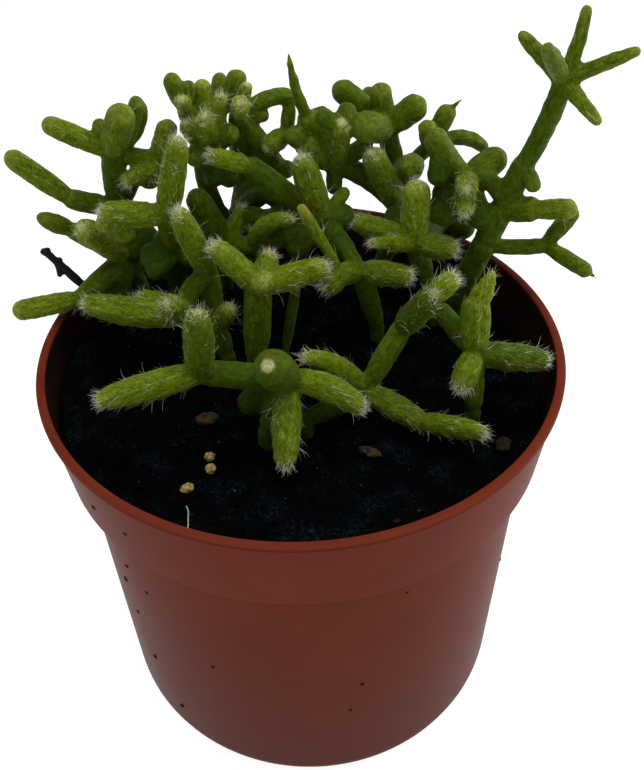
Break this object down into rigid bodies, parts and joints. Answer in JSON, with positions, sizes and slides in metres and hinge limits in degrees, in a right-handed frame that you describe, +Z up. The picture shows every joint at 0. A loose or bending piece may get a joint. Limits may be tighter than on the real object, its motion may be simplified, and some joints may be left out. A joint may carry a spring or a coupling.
{
  "type": "potted mistletoe cactus",
  "caption": "Young mistletoe cactus: thin, branching, jointed green stems with bristly tips, rooted in dark peat in a tapered nursery pot with a wide collar.",
  "frame": {"origin": "middle of the pot's underside, level with the surface it stands on", "axes": "+Z up along the pot's axis, -Y towards the front of the plant, +X to its right"},
  "size_m": [0.0982, 0.085, 0.1219],
  "materials": {
    "pot": "satin moulded plastic",
    "peat": "damp crumbly peat",
    "stem": "waxy skin with fine bristles",
    "dead_wood": "dry and dull",
    "bark": "rough",
    "pumice": "porous and dull"
  },
  "bodies": {
    "root": {"pot": "pot", "soil": "peat", "front_centre_shoot": "stem", "front_right_shoot": "stem", "right_shoot": "stem", "middle_left_shoot": "stem", "left_inner_shoot": "stem", "left_back_shoot": "stem", "left_tall_shoot": "stem", "back_left_shoot": "stem", "back_arch_shoot": "stem", "inner_back_shoot": "stem", "middle_shoot": "stem", "star_shoot": "stem", "back_shoot": "stem", "tall_shoot": "stem", "thin_shoot": "stem", "dead_twig": "dead_wood", "bark_chip_left": "bark", "bark_chip_front": "bark", "bark_chip_right": "bark", "pumice_grain_back": "pumice", "pumice_grain_middle": "pumice", "pumice_grain_front": "pumice"}
  },
  "joints": []
}
